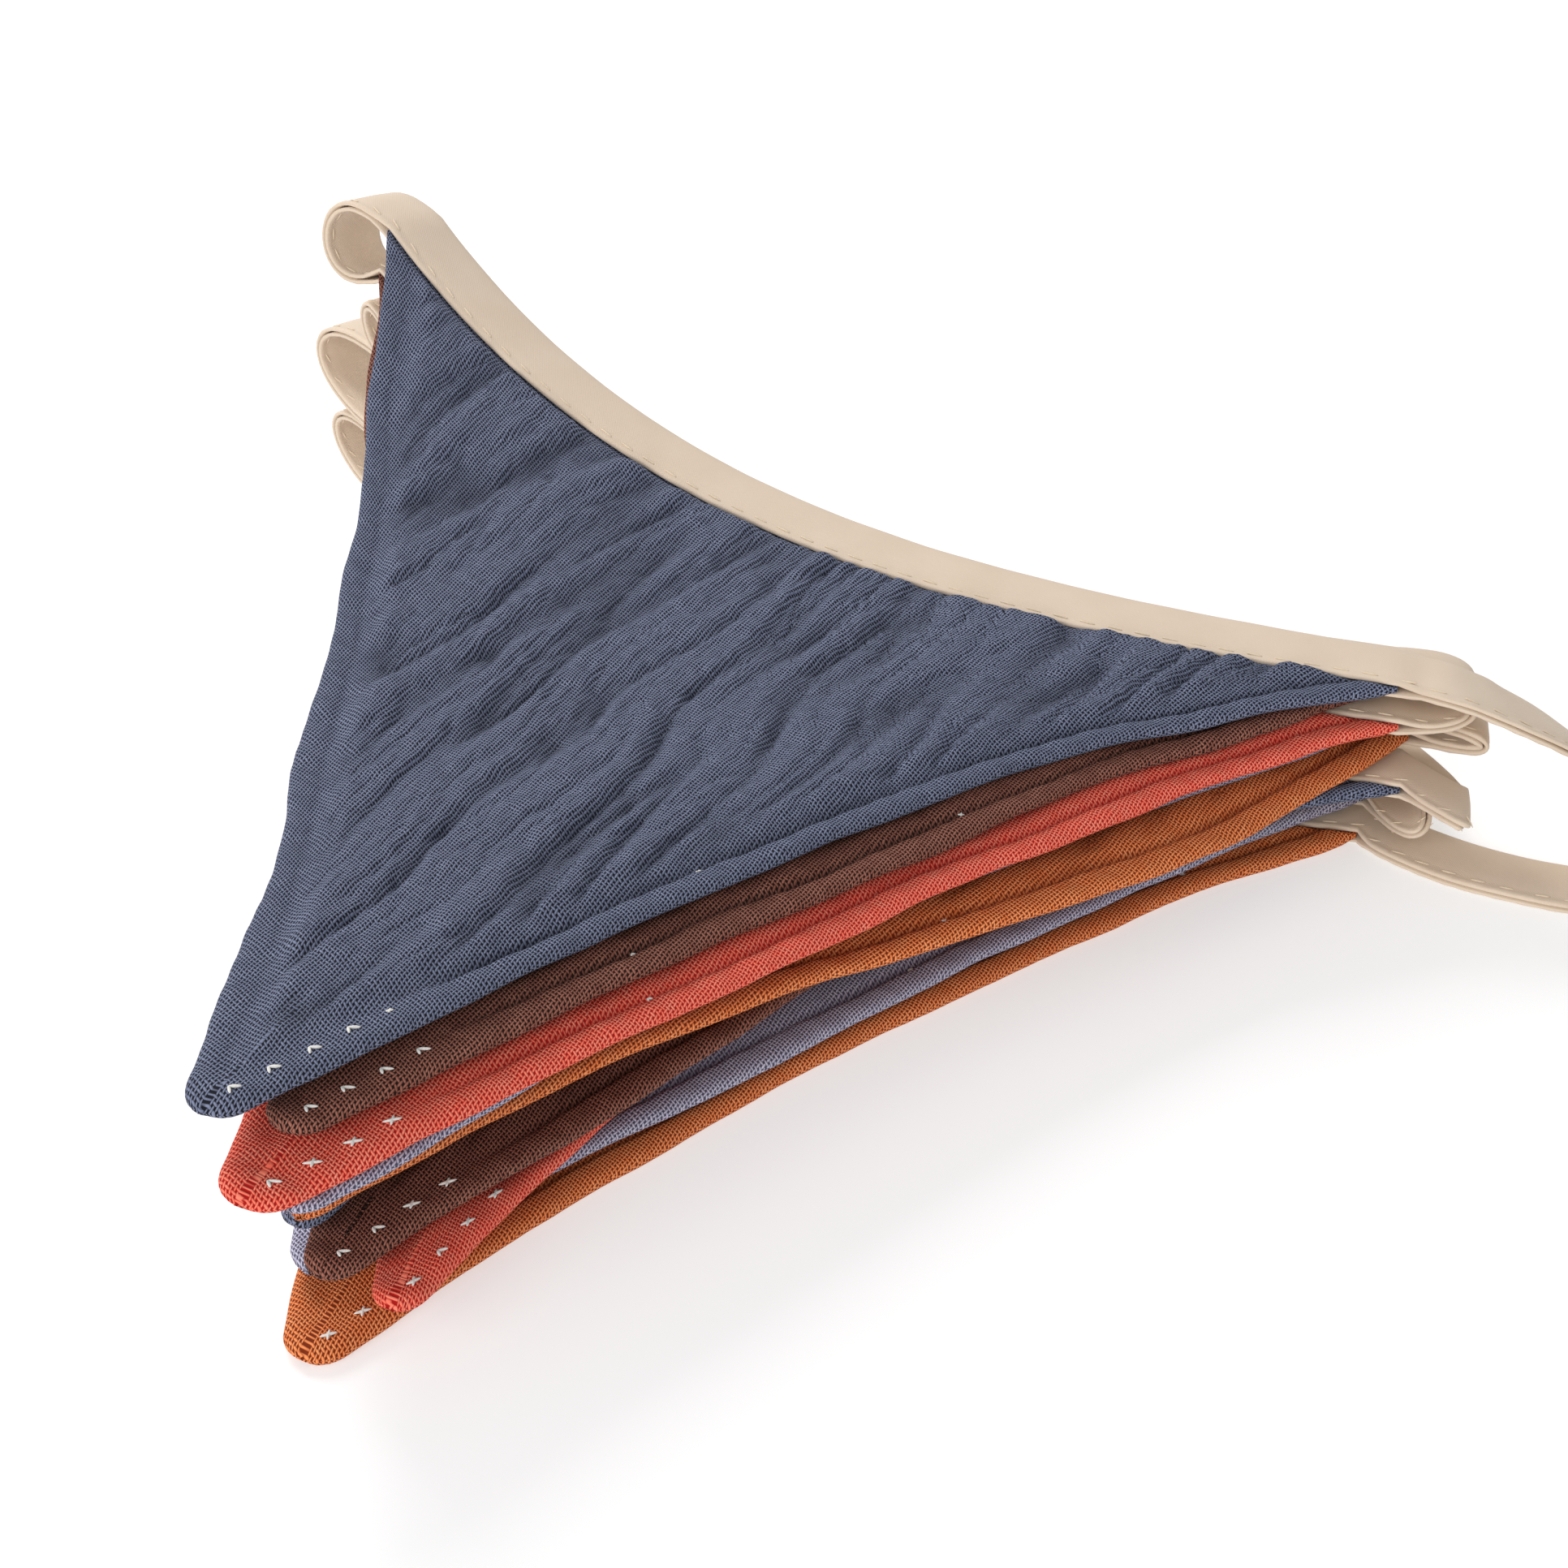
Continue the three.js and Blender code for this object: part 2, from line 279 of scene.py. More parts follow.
FLAG_PLACES = (
    FlagPlace(GauzeColour.SLATE, (0.0, 0.0), 0.0, Bend(0.0146, 0.45), 0.0, -1.0),
    FlagPlace(GauzeColour.BROWN, (-0.0016, 0.0025), 2.4, Bend(0.0085, 0.3), 0.0043, 3.0),
    FlagPlace(GauzeColour.CORAL, (0.0008, -0.0012), 1.5, Bend(0.007, 0.7), -0.001, -4.0),
    FlagPlace(GauzeColour.LAVENDER, (-0.0014, 0.0043), 3.0, Bend(0.0098, -0.1), -0.0014, 3.0),
    FlagPlace(GauzeColour.ORANGE, (0.0007, 0.0075), 1.9, Bend(0.0036, -4.0), -0.0009, 5.0),
    FlagPlace(GauzeColour.SLATE, (0.0026, 0.0), 0.5, Bend(0.023, -0.1), 0.0106, 4.0),
    FlagPlace(GauzeColour.BROWN, (-0.0031, 0.0087), 3.5, Bend(0.013, 0.5), -0.0014, 1.0),
    FlagPlace(GauzeColour.CORAL, (-0.0026, 0.0117), 6.1, Bend(0.0222, 0.2), -0.0013, -3.0),
    FlagPlace(GauzeColour.LAVENDER, (-0.0056, 0.0105), 1.4, Bend(0.0026, 1.5), 0.0056, 4.0),
    FlagPlace(GauzeColour.ORANGE, (-0.0045, 0.0024), 3.0, Bend(0.0092, 0.2), 0.0043, 0.0),
)


@dataclass(frozen=True)
class CrinkleSet:
    """One set of creases, which end and start again at random along the warp."""

    pitch: float
    length: float
    share: float


@dataclass(frozen=True)
class Crinkle:
    """The raised crinkles of washed double gauze, which run along its warp."""

    sets: tuple[CrinkleSet, ...] = (
        CrinkleSet(0.0064, 0.07, 0.6),
        CrinkleSet(0.0038, 0.024, 0.27),
        CrinkleSet(0.0021, 0.0075, 0.13),
    )
    fan: float = -2.2
    wander: float = 0.0042
    wander_size: float = 0.04
    crease: float = 0.4

    def at(self, across: float, along: float, seed: float) -> float:
        """Return the crinkles' height at a point of the cloth.

        Args:
            across: Distance across the warp.
            along: Distance along the warp.
            seed: A number of the flag's own.

        Returns:
            The height from 0, in a crease, to about 1.
        """
        spread = across + along * across * self.fan
        spot = Vector((across / self.wander_size, along / self.wander_size, seed))
        drift = self.wander * noise.noise(spot)
        height = 0.0
        for number, item in enumerate(self.sets):
            spot = Vector(((spread + drift) / item.pitch, along / item.length, seed + 7.3 * (number + 1)))
            height += item.share * ease(abs(noise.noise(spot)) / self.crease) ** 0.6
        return height


@dataclass(frozen=True)
class Pucker:
    """The small waves that the topstitching draws into a flag's rim."""

    pitch: float = 0.0065
    puff: float = 0.08
    lift: float = 0.0006
    push: float = 0.0016
    reach: float = 0.006

    def wave(self, run: float, seed: float) -> float:
        """Return the wave at a distance along the rim, from -1 to 1."""
        drift = noise.noise(Vector((run / 0.02, seed, 4.1)))
        return math.sin(2 * math.pi * run / self.pitch + 3 * drift)

    def rise(self, run: float, inset: float, seed: float) -> float:
        """Return how far the rim is lifted at a distance along it and a distance in from it."""
        swell = noise.noise(Vector((run / 0.013, seed, 9.2)))
        return self.lift * (swell + 0.15 * self.wave(run, seed)) * math.exp(-inset / self.reach)

    def shove(self, run: float, inset: float, seed: float) -> float:
        """Return how far the rim is moved inwards at a distance along it and a distance in from it."""
        slow = noise.noise(Vector((run / 0.028, seed, 2.6)))
        quick = noise.noise(Vector((run / 0.01, seed, 6.4)))
        return self.push * (slow + 0.25 * quick) * math.exp(-inset / (1.6 * self.reach))


@dataclass
class GauzeFlag:
    """One flag: two panels sewn right sides together, turned, pressed and topstitched."""

    index: int
    place: FlagPlace
    pile: PileForm
    inner_columns: int
    body_rows: int
    crinkle_height: float
    crowding: float
    crinkle_start: float = 0.0052
    crinkle_ease: float = 0.006
    tape_ease: float = 0.004
    cut: FlagCut = field(default_factory=FlagCut)
    crinkle: Crinkle = field(default_factory=Crinkle)
    pucker: Pucker = field(default_factory=Pucker)
    groove: StitchGroove = field(default_factory=StitchGroove)
    tape_bow: Bend = Bend(0.014, 0.13)
    left_bow: Bend = Bend(0.0009, 1.5)
    tape_tilt: tuple[float, float, float] = (-0.11, 0.05, -0.03)

    @property
    def name(self) -> str:
        """Return the name of the flag's CAD node."""
        return f"flag_{self.index + 1:02d}_{self.place.colour.value}"

    @property
    def lowest(self) -> bool:
        """Return whether this is the flag that the pile rests on."""
        return self.index == self.pile.layers - 1

    @property
    def turn(self) -> Matrix:
        """Return the flag's turn in the pile."""
        return Matrix.Rotation(math.radians(self.place.turn), 3, "Z")

    def spread(self, left: float, right: float, tip: float) -> Vector:
        """Return the point of the middle surface with these shares of the three corners."""
        corners = self.cut.corners
        point = corners[0] * left + corners[1] * right + corners[2] * tip
        sides = (
            (corners[0], corners[1], self.tape_bow.at(left, right)),
            (corners[1], corners[2], self.place.right_bow.at(right, tip)),
            (corners[2], corners[0], self.left_bow.at(tip, left)),
        )
        point.y += tip * self.place.draw
        for start, end, depth in sides:
            way = (end - start).normalized()
            point += Vector((way.y, -way.x, 0)) * depth
        point = self.turn @ point + Vector((*self.place.slip, 0))
        point.z = self.pile.layer(self.index, point.x, point.y)
        return point

    def tape_edge(self, share: float) -> Vector:
        """Return the point of the tape edge at a share of the way from left to right."""
        return self.spread(1 - share, share, 0)

    def outwards(self, share: float) -> Vector:
        """Return the way in which the tape lies out from the edge there, as a unit vector."""
        step = 0.01
        along = self.tape_edge(share + step) - self.tape_edge(share - step)
        way = Vector((-along.y, along.x, 0)).normalized()
        left, middle, right = self.tape_tilt
        arched = blend(left, right, share) + (middle - (left + right) / 2) * 4 * share * (1 - share)
        way.z = arched * self.pile.share(self.index)
        return way.normalized()

    def middle(self, x: float, down: float) -> Vector:
        """Return the place in the pile of a flat point of the flag.

        Args:
            x: Distance to the right of the flag's centre line.
            down: Distance down from the tape edge, or less than 0 inside the tape.

        Returns:
            The point of the middle surface.
        """
        share = 0.5 + x / (2 * self.cut.straight_half(down))
        tip = max(0.0, down) / self.cut.apex_height
        point = self.spread((1 - share) * (1 - tip), share * (1 - tip), tip)
        if down < 0:
            point += self.outwards(share) * -down
        return point

    def cloth_map(self, x: float, down: float) -> tuple[float, float]:
        """Return a flat point's place on the cloth: its distance across the warp and along it."""
        angle = math.radians(self.place.grain)
        taken_up = self.cut.taken_up(self.cut.inset(x, down))
        x += math.copysign(taken_up * math.cos(self.cut.half_angle), x)
        down += taken_up * math.sin(self.cut.half_angle)
        across = x * math.cos(angle) + down * math.sin(angle)
        along = down * math.cos(angle) - x * math.sin(angle)
        return across, along

    def inwards(self, x: float) -> Vector:
        """Return the way in from the slanted side that is nearer to a flat point, in the plan."""
        corner = self.cut.corners[1 if x > 0 else 0]
        way = (self.cut.corners[2] - corner).normalized()
        turned = self.turn @ Vector((way.y, -way.x, 0))
        return turned if x > 0 else -turned

    def painted_shade_depth(self, x: float, down: float) -> float:
        """Return how deep in a crease or in the stitch line a flat point lies, from 0 to 1, which sets the
        painted shade that darkens the gauze's colour there.
        """
        inset = self.cut.inset(x, down)
        groove = self.groove.at(inset, self.from_tip(down), x > 0, self.index)
        across, along = self.cloth_map(x, down)
        crease = max(0.0, 1 - 1.5 * self.crinkle.at(across, along, self.index * CRINKLE_SEED))
        return max(groove, 0.8 * self.clear(inset, down) * crease)

    def from_tip(self, down: float) -> float:
        """Return how far along its side from the tip a flat point lies."""
        return (self.cut.height - down) / math.cos(self.cut.half_angle)

    def clear(self, inset: float, down: float) -> float:
        """Return how freely the cloth crinkles at a point, from 0 at its seams to 1."""
        return ease((inset - self.crinkle_start) / self.crinkle_ease) * ease(down / self.tape_ease)

    def surface(self, x: float, down: float, face: Face) -> Vector:
        """Return the point of one of the flag's faces over a flat point of it."""
        point = self.middle(x, down)
        inset = self.cut.inset(x, down)
        side = self.index + (0.5 if x > 0 else 0.25)
        run = down / math.cos(self.cut.half_angle)
        shove = ease(down / 0.006) * self.pucker.shove(run, inset, side)
        point += self.inwards(x) * shove
        out_of_tape = ease(down / self.cut.shoulder)
        puffed = along_table(self.cut.rim, inset) * (
            1 + self.pucker.puff * self.pucker.wave(run, side) * math.exp(-inset / self.pucker.reach)
        )
        furrow = self.groove.at(inset, self.from_tip(down), x > 0, self.index)
        puffed -= self.groove.depth * furrow * out_of_tape
        half = min(puffed, blend(self.cut.seam_half, puffed, out_of_tape))
        if down <= -self.cut.seam_depth:
            half = 0.0
        if not self.lowest:
            point.z += out_of_tape * self.pucker.rise(run, inset, side)
        if face is Face.UNDER:
            if self.lowest and down > 0:
                flattened = out_of_tape * ease(inset / 0.001)
                return Vector((point.x, point.y, blend(point.z - half, 0.0, flattened)))
            point.z -= half
            return point
        across, along = self.cloth_map(x, down)
        raised = self.crinkle_height * self.crinkle.at(across, along, self.index * CRINKLE_SEED)
        point.z += half + self.clear(inset, down) * raised
        return point

    def columns(self, width: float) -> list[float]:
        """Return the shares of a row's width where its vertices lie, closer together at the rims."""
        insets = [place for place, _ in self.cut.rim[:-2]]
        squeeze = min(1.0, 0.45 * width / insets[-1])
        rim = [place * squeeze / width for place in insets]
        steps = self.inner_columns + 1
        shares = [step / steps for step in range(1, steps)]
        spaced = [blend(share, 0.5 - 0.5 * math.cos(math.pi * share), self.crowding) for share in shares]
        inner = [blend(rim[-1], 1 - rim[-1], share) for share in spaced]
        return rim + inner + [1 - place for place in reversed(rim)]

    def rows(self) -> list[float]:
        """Return the distances down from the tape edge where the rows of vertices lie."""
        edge = [*self.cut.seam_rows, *self.cut.shoulder_rows]
        insets = [place for place, _ in self.cut.rim[:-2]]
        end = self.cut.height - insets[-1]
        body = [blend(edge[-1], end, step / self.body_rows) for step in range(1, self.body_rows)]
        return edge + body + [self.cut.height - place for place in reversed(insets)]

    def add_panel(self, mesh: bmesh.types.BMesh, face: Face) -> None:
        """Add one of the flag's two panels, as a grid laid over its surface."""
        rows = self.rows()
        count = len(self.columns(self.cut.width))
        made = bmesh.ops.create_grid(mesh, x_segments=count - 1, y_segments=len(rows) - 1, size=0.5)["verts"]
        layer = mesh.verts.layers.float_vector[CLOTH_MAP]
        places = {}
        for row, down in enumerate(rows):
            width = 2 * max(self.cut.half_width(down), 1e-7)
            places[row] = [(share - 0.5) * width for share in self.columns(width)]
        for vertex in made:
            column = round((vertex.co.x + 0.5) * (count - 1))
            row = round((0.5 - vertex.co.y) * (len(rows) - 1))
            x, down = places[row][column], rows[row]
            vertex.co = self.surface(x, down, face)
            # The third value sets the painted shade in the creases and the stitch furrow.
            vertex[layer] = Vector((*self.cloth_map(x, down), self.painted_shade_depth(x, down)))
        if face is Face.UNDER:
            faces = list({item for vertex in made for item in vertex.link_faces})
            bmesh.ops.reverse_faces(mesh, faces=faces)

    def build(self) -> bpy.types.Object:
        """Model the flag and return its object."""
        mesh = bmesh.new()
        mesh.verts.layers.float_vector.new(CLOTH_MAP)
        self.add_panel(mesh, Face.UPPER)
        self.add_panel(mesh, Face.UNDER)
        bmesh.ops.remove_doubles(mesh, verts=mesh.verts, dist=MERGE)
        return to_object(mesh, f"{self.place.colour.value}_gauze_flag_{self.index + 1:02d}")


def to_object(mesh: bmesh.types.BMesh, name: str) -> bpy.types.Object:
    """Move a finished mesh from the pile's frame to the part's, and make it a smooth object.

    Args:
        mesh: The mesh, which is freed.
        name: The object's name.

    Returns:
        The new object, linked to the scene.
    """
    bmesh.ops.translate(mesh, vec=-ORIGIN, verts=mesh.verts)
    for item in mesh.faces:
        item.smooth = True
    data = bpy.data.meshes.new(name)
    mesh.to_mesh(data)
    mesh.free()
    made = bpy.data.objects.new(name, data)
    bpy.context.scene.collection.objects.link(made)
    return made


def add_stroke(mesh: bmesh.types.BMesh, start: Vector, end: Vector, radius: float) -> None:
    """Add one visible stroke of thread, as a slim bead between two points."""
    way = end - start
    turn = way.to_track_quat("X", "Z").to_matrix().to_4x4()
    size = Matrix.Diagonal((way.length / 2 + radius / 2, radius, radius, 1))
    where = Matrix.Translation((start + end) / 2) @ turn @ size
    bmesh.ops.create_icosphere(mesh, subdivisions=2, radius=1, matrix=where)


@dataclass
class Topstitching:
    """The white topstitching that shows near a flag's tip, and as specks from the stitch line beyond it."""

    flag: GauzeFlag
    pitch: float = 0.0056
    length: float = 0.0016
    spread: float = 0.0007
    radius: float = 0.00022
    proud: float = 0.00022
    shown: float = 0.024
    tip_inset: float = 0.003
    first: float = 0.7
    speck_size: float = 0.4
    speck_rarity: float = 0.42

    def place(self, run: float) -> tuple[float, float]:
        """Return the flat point of the right side's stitch line at a distance from the tip."""
        angle = self.flag.cut.half_angle
        inset = blend(self.tip_inset, self.flag.cut.stitch_inset, ease(run / 0.06))
        down = self.flag.cut.apex_height - inset / math.sin(angle) - run * math.cos(angle)
        return run * math.sin(angle), down

    def build(self) -> bpy.types.Object:
        """Model the stitches that show, and return their object."""
        mesh = bmesh.new()
        angle = self.flag.cut.half_angle
        count = int((self.flag.cut.height - 0.02) / math.cos(angle) / self.pitch)
        for step in range(count):
            run = (step + self.first) * self.pitch
            chance = noise.noise(Vector((run * 700, 1.3, self.flag.index * STITCH_SEED)))
            if run < self.shown:
                self.add_stitch(mesh, run, 1.0)
            elif chance > self.speck_rarity:
                self.add_stitch(mesh, run, self.speck_size)
        return to_object(mesh, f"white_topstitching_{self.flag.index + 1:02d}")

    def add_stitch(self, mesh: bmesh.types.BMesh, run: float, size: float) -> None:
        """Add one stitch of the right side: two strokes that meet in a V, or cross in an X."""
        seed = Vector((run * 900, 3.3, self.flag.index * STITCH_SEED))
        slant = noise.noise(seed) * 0.9
        crossed = noise.noise(seed * 1.7) > 0.12
        half = self.length * size / 2
        for arm in (-1, 1):
            near = run + arm * half
            far = run - arm * half if crossed else run + slant * 0.0002
            points = []
            for place, aside in ((near, self.spread * size), (far, -self.spread * size)):
                x, down = self.place(place)
                x += aside * math.cos(self.flag.cut.half_angle)
                point = self.flag.surface(x, down, Face.UPPER)
                point.z += self.proud * size
                points.append(point)
            add_stroke(mesh, points[0], points[1], self.radius * blend(0.7, 1.0, size))


@dataclass(frozen=True)
class Station:
    """One cross-section of the tape: its middle, the way out to its fold, and half its walls' gap."""

    at: Vector
    across: Vector
    gap: float


LOOP_HANDLE = 0.75
LOOP_LEAD = 0.2


@dataclass(frozen=True)
class TapeLoop:
    """One turn of the tape between two flags."""

    reach: float
    swell: float
    drift: float


TAPE_LOOPS = (
    TapeLoop(0.012, 0.011, 0.002),
    TapeLoop(0.009, 0.0015, 0.004),
    TapeLoop(0.0095, 0.007, 0.008),
    TapeLoop(0.011, 0.0015, 0.0),
    TapeLoop(0.029, 0.009, 0.017),
    TapeLoop(0.012, 0.0015, -0.01),
    TapeLoop(0.023, 0.008, 0.016),
    TapeLoop(0.009, 0.0015, -0.012),
    TapeLoop(0.007, 0.0, 0.012),
)
TOP_TIE = (
    (0.0985, 0.0062, 0.0342), (0.1037, 0.0082, 0.0324), (0.108, 0.0103, 0.03),
    (0.1135, 0.0139, 0.0262), (0.1185, 0.018, 0.0215), (0.1245, 0.024, 0.0145),
    (0.131, 0.0315, 0.007), (0.139, 0.04, 0.0022), (0.148, 0.048, 0.001),
    (0.158, 0.055, 0.001), (0.168, 0.06, 0.001),
)
BOTTOM_TIE = (
    (0.093, 0.0102, 0.0012), (0.1032, 0.0082, 0.001), (0.1135, 0.008, 0.001),
    (0.123, 0.0093, 0.001), (0.136, 0.0125, 0.001), (0.15, 0.016, 0.001),
    (0.164, 0.018, 0.001), (0.176, 0.0185, 0.001),
)


@dataclass
class BiasTape:
    """The one strip of tape: two free ends, a run along each flag, and a loop between each two runs."""

    flags: list[GauzeFlag]
    width: float = 0.012
    wall: float = 0.0007
    bite: float = 0.00075
    shut: float = 0.0002
    gap_ease: float = 0.004
    run_steps: int = 84
    loop_steps: int = 26
    tie_steps: int = 7
    stitch_inset: float = 0.0014
    stitch_pitch: float = 0.0041
    stitch_length: float = 0.0025
    stitch_radius: float = 0.00016
    stations: list[Station] = field(default_factory=list)

    def run(self, flag: GauzeFlag) -> list[Station]:
        """Return the stations along one flag, from its left corner to its right one."""
        found = []
        for step in range(self.run_steps + 1):
            share = step / self.run_steps
            across = flag.outwards(share)
            found.append(Station(flag.tape_edge(share) + across * self.width / 2, across, self.bite))
        return found

    def between(self, points: list[Vector], start: Vector, end: Vector | None) -> list[Station]:
        """Return stations along a free stretch of tape.

        Args:
            points: Its middle line, from the end of a run onwards.
            start: The way out to the fold at its start.
            end: The same at its end, or None for a free end, which turns level.

        Returns:
            The stations between the first point and the last.
        """
        steps = len(points) - 1
        total = sum((b - a).length for a, b in zip(points, points[1:]))
        gone = 0.0
        found = []
        for step in range(1, steps):
            gone += (points[step] - points[step - 1]).length
            share = step / steps
            way = points[step + 1] - points[step - 1]
            level = Vector((-way.y, way.x, 0)).normalized()
            across = start.lerp(level, min(1.0, share / 0.25)) if end is None else start.lerp(end, share)
            clear = gone if end is None else min(gone, total - gone)
            gap = blend(self.bite, self.shut, min(1.0, clear / self.gap_ease))
            found.append(Station(points[step], across.normalized(), gap))
        return found

    def loop(
        self, start: Station, end: Station, along: tuple[Vector, Vector], side: int, turn: TapeLoop
    ) -> list[Station]:
        """Return the stations of one loop.

        Args:
            start: The last station of the run above.
            end: The first station of the run below.
            along: The plan direction in which each of the two runs heads out.
            side: 1 at the right corner, -1 at the left one.
            turn: The loop's sizes.

        Returns:
            The stations between the two runs.
        """
        reach = turn.reach / LOOP_HANDLE
        push = Vector((side * reach, turn.drift / LOOP_HANDLE, 0))
        rise = Vector((0, 0, turn.swell))
        first = start.at + push + rise + along[0] * LOOP_LEAD * reach
        second = end.at + push - rise + along[1] * LOOP_LEAD * reach
        points = interpolate_bezier(start.at, first, second, end.at, self.loop_steps + 1)
        return self.between(points, start.across, end.across)

    def tie(self, start: Station, route: tuple[tuple[float, float, float], ...]) -> list[Station]:
        """Return the stations of a free end, from the last flag outwards."""
        knots = [start.at, *(Vector(point) for point in route)]
        points = [knots[0]]
        for place in range(len(knots) - 1):
            before = knots[max(0, place - 1)]
            after = knots[min(len(knots) - 1, place + 2)]
            near = knots[place] + (knots[place + 1] - before) / 6
            far = knots[place + 1] - (after - knots[place]) / 6
            points += interpolate_bezier(knots[place], near, far, knots[place + 1], self.tie_steps + 1)[1:]
        last = points[-1] + (points[-1] - points[-2]) * 0.2
        return self.between([*points, last], start.across, None)

    def lay(self) -> None:
        """Work out all the stations, from the top free end to the bottom one."""
        runs = [self.run(flag) for flag in self.flags]
        line = list(reversed(self.tie(runs[0][-1], TOP_TIE)))
        for index, run in enumerate(runs):
            leftwards = index % 2 == 0
            line += list(reversed(run)) if leftwards else run
            if index == len(runs) - 1:
                break
            end = 0 if leftwards else -1
            turned = runs[index : index + 2]
            pairs = [(item[1], item[0]) if leftwards else (item[-2], item[-1]) for item in turned]
            heads = [Vector((*(past.at - near.at).xy, 0)).normalized() for near, past in pairs]
            ends = run[end], runs[index + 1][end]
            line += self.loop(*ends, tuple(heads), -1 if leftwards else 1, TAPE_LOOPS[index])
        self.stations = line + self.tie(runs[-1][-1], BOTTOM_TIE)

    def section(self, gap: float, wave: float) -> list[tuple[float, float]]:
        """Return the cross-section of the folded tape, as distances out to the fold and up.

        Args:
            gap: Half the gap between its walls.
            wave: How the stitching puckers the open edges here, from -1 to 1.

        Returns:
            Its points in order around the two walls.
        """
        half = self.width / 2
        thick = gap + self.wall
        stitch = -half + self.stitch_inset
        upper = [
            (-half, gap + 0.3 * self.wall),
            (-half + 0.00003, thick - 0.00022),
            (-half + 0.0002, thick - 0.00004 + 0.00006 * wave),
            (stitch - 0.0006, thick + 0.00004 * wave),
            (stitch, thick - 0.00012),
            (stitch + 0.0006, thick + 0.00003),
            (-0.002, thick + 0.0001),
            (0.001, thick + 0.00012),
            (half - 0.0025, thick + 0.00006),
        ]
        fold = []
        for step in range(9):
            angle = math.pi * (0.5 - step / 8)
            fold.append((half - thick * (1 - math.cos(angle)), thick * math.sin(angle)))
        inner = [(-half + 0.00003, gap), (stitch, gap - 0.00003), (half - self.wall - gap, gap)]
        lower = [(out, -up) for out, up in reversed(upper)]
        inner_fold = [(half - self.wall - 0.3 * gap, 0.7 * gap), (half - self.wall - 0.3 * gap, -0.7 * gap)]
        inside = [(out, -up) for out, up in inner] + list(reversed(inner_fold)) + list(reversed(inner))
        return upper + fold + lower + inside

    def frame_at(self, place: int) -> tuple[Vector, Vector, Vector]:
        """Return the middle, the way out and the way up of the section at a station."""
        station = self.stations[place]
        before = self.stations[max(0, place - 1)].at
        after = self.stations[min(len(self.stations) - 1, place + 1)].at
        return station.at, station.across, (after - before).cross(station.across).normalized()

    def distances(self) -> list[float]:
        """Return how far along the tape each station is."""
        found = [0.0]
        for first, second in zip(self.stations, self.stations[1:]):
            found.append(found[-1] + (second.at - first.at).length)
        return found

    def build(self) -> bpy.types.Object:
        """Model the tape and return its object."""
        self.lay()
        mesh = bmesh.new()
        layer = mesh.verts.layers.float_vector.new(CLOTH_MAP)
        around = len(self.section(0, 0))
        count = len(self.stations)
        runs = self.distances()
        made = bmesh.ops.create_grid(mesh, x_segments=around, y_segments=count - 1, size=0.5)["verts"]
        frames = [self.frame_at(place) for place in range(count)]
        waves = [math.sin(2 * math.pi * run / self.stitch_pitch) for run in runs]
        rings = [self.section(station.gap, wave) for station, wave in zip(self.stations, waves)]
        for vertex in made:
            corner = round((vertex.co.x + 0.5) * around) % around
            place = round((vertex.co.y + 0.5) * (count - 1))
            middle, across, up = frames[place]
            out, rise = rings[place][corner]
            rise += 0.0001 * noise.noise(Vector((runs[place] / 0.009, out / 0.006, 2.0)))
            vertex.co = middle + across * out + up * rise
            vertex.co.z = max(vertex.co.z, 0.0)
            vertex[layer] = Vector((out, runs[place], 0.0))
        bmesh.ops.remove_doubles(mesh, verts=mesh.verts, dist=MERGE)
        bmesh.ops.holes_fill(mesh, edges=[edge for edge in mesh.edges if edge.is_boundary], sides=0)
        bmesh.ops.recalc_face_normals(mesh, faces=mesh.faces)
        return to_object(mesh, "beige_bias_tape")

    def build_stitches(self) -> bpy.types.Object:
        """Model the row of stitches along the tape's open edges, on both of its faces."""
        mesh = bmesh.new()
        due = self.stitch_pitch
        runs = self.distances()
        for place, run in enumerate(runs[:-1]):
            if run < due:
                continue
            due = run + self.stitch_pitch
            middle, across, up = self.frame_at(place)
            heading = across.cross(up)
            for face in (-1, 1):
                height = self.stations[place].gap + self.wall - 0.00003
                spot = middle + across * (self.stitch_inset - self.width / 2) + up * face * height
                spot.z = max(spot.z, self.stitch_radius)
                tilt = across * 0.0001
                reach = heading * self.stitch_length / 2 + tilt
                add_stroke(mesh, spot - reach, spot + reach, self.stitch_radius)
        return to_object(mesh, "beige_tape_stitches")


